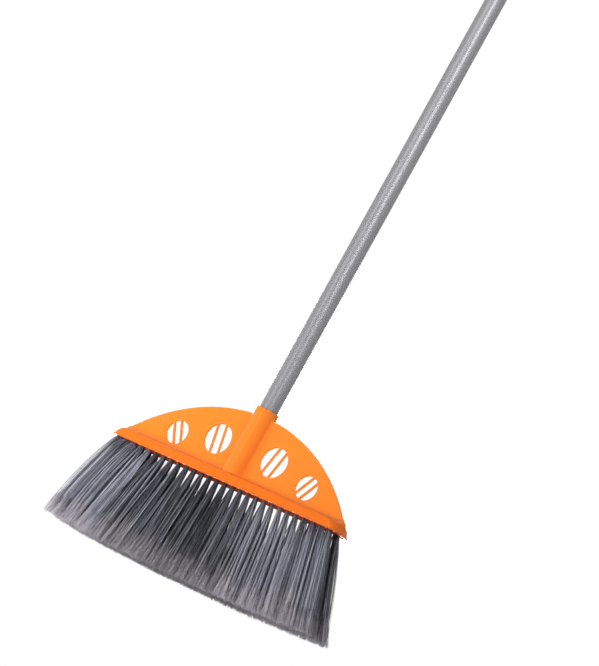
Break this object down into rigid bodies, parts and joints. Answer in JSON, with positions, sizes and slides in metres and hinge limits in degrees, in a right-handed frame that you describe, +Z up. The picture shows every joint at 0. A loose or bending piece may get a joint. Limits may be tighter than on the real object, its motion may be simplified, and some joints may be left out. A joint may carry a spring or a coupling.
{
  "type": "soft broom",
  "caption": "Soft indoor broom with a fan-shaped plastic head, splayed rows of grey flagged bristles and a slim metal handle that screws into the head's round socket.",
  "frame": {"origin": "on the floor under the middle of the trimmed bristle tips", "axes": "+Z up along the handle, X across the head, -Y towards the head's front"},
  "size_m": [0.4014, 0.0576, 1.4051],
  "materials": {
    "head_plastic": "satin orange moulding",
    "bristle": "grey synthetic filament, flagged tips",
    "handle_finish": "satin silver-grey lacquer with fine drawn lines",
    "anchor_steel": "flat wire",
    "tip_plastic": "black moulding",
    "cap_plastic": "charcoal moulding"
  },
  "bodies": {
    "head": {"head_moulding": "head_plastic", "tuft_block": "head_plastic", "tuft_anchors": "anchor_steel", "bristles_front": "bristle", "bristles_front_middle": "bristle", "bristles_back_middle": "bristle", "bristles_back": "bristle"},
    "screw_tip": {"screw_tip": "tip_plastic"},
    "handle": {"handle_tube": "handle_finish", "hanger_cap": "cap_plastic"}
  },
  "joints": [
    {"name": "handle_climb", "type": "slide", "parent": "head", "child": "screw_tip", "axis": [0, 0, 1], "range_m": [0, 0.025]},
    {"name": "handle_turn", "type": "hinge", "parent": "screw_tip", "child": "handle", "pos_m": [0, 0, 0.1731], "axis": [0, 0, 1], "range_deg": [0, 1800]}
  ],
  "couplings": [
    {"joint": "handle_turn", "follows": "handle_climb", "rad_per_m": 1256.6}
  ]
}
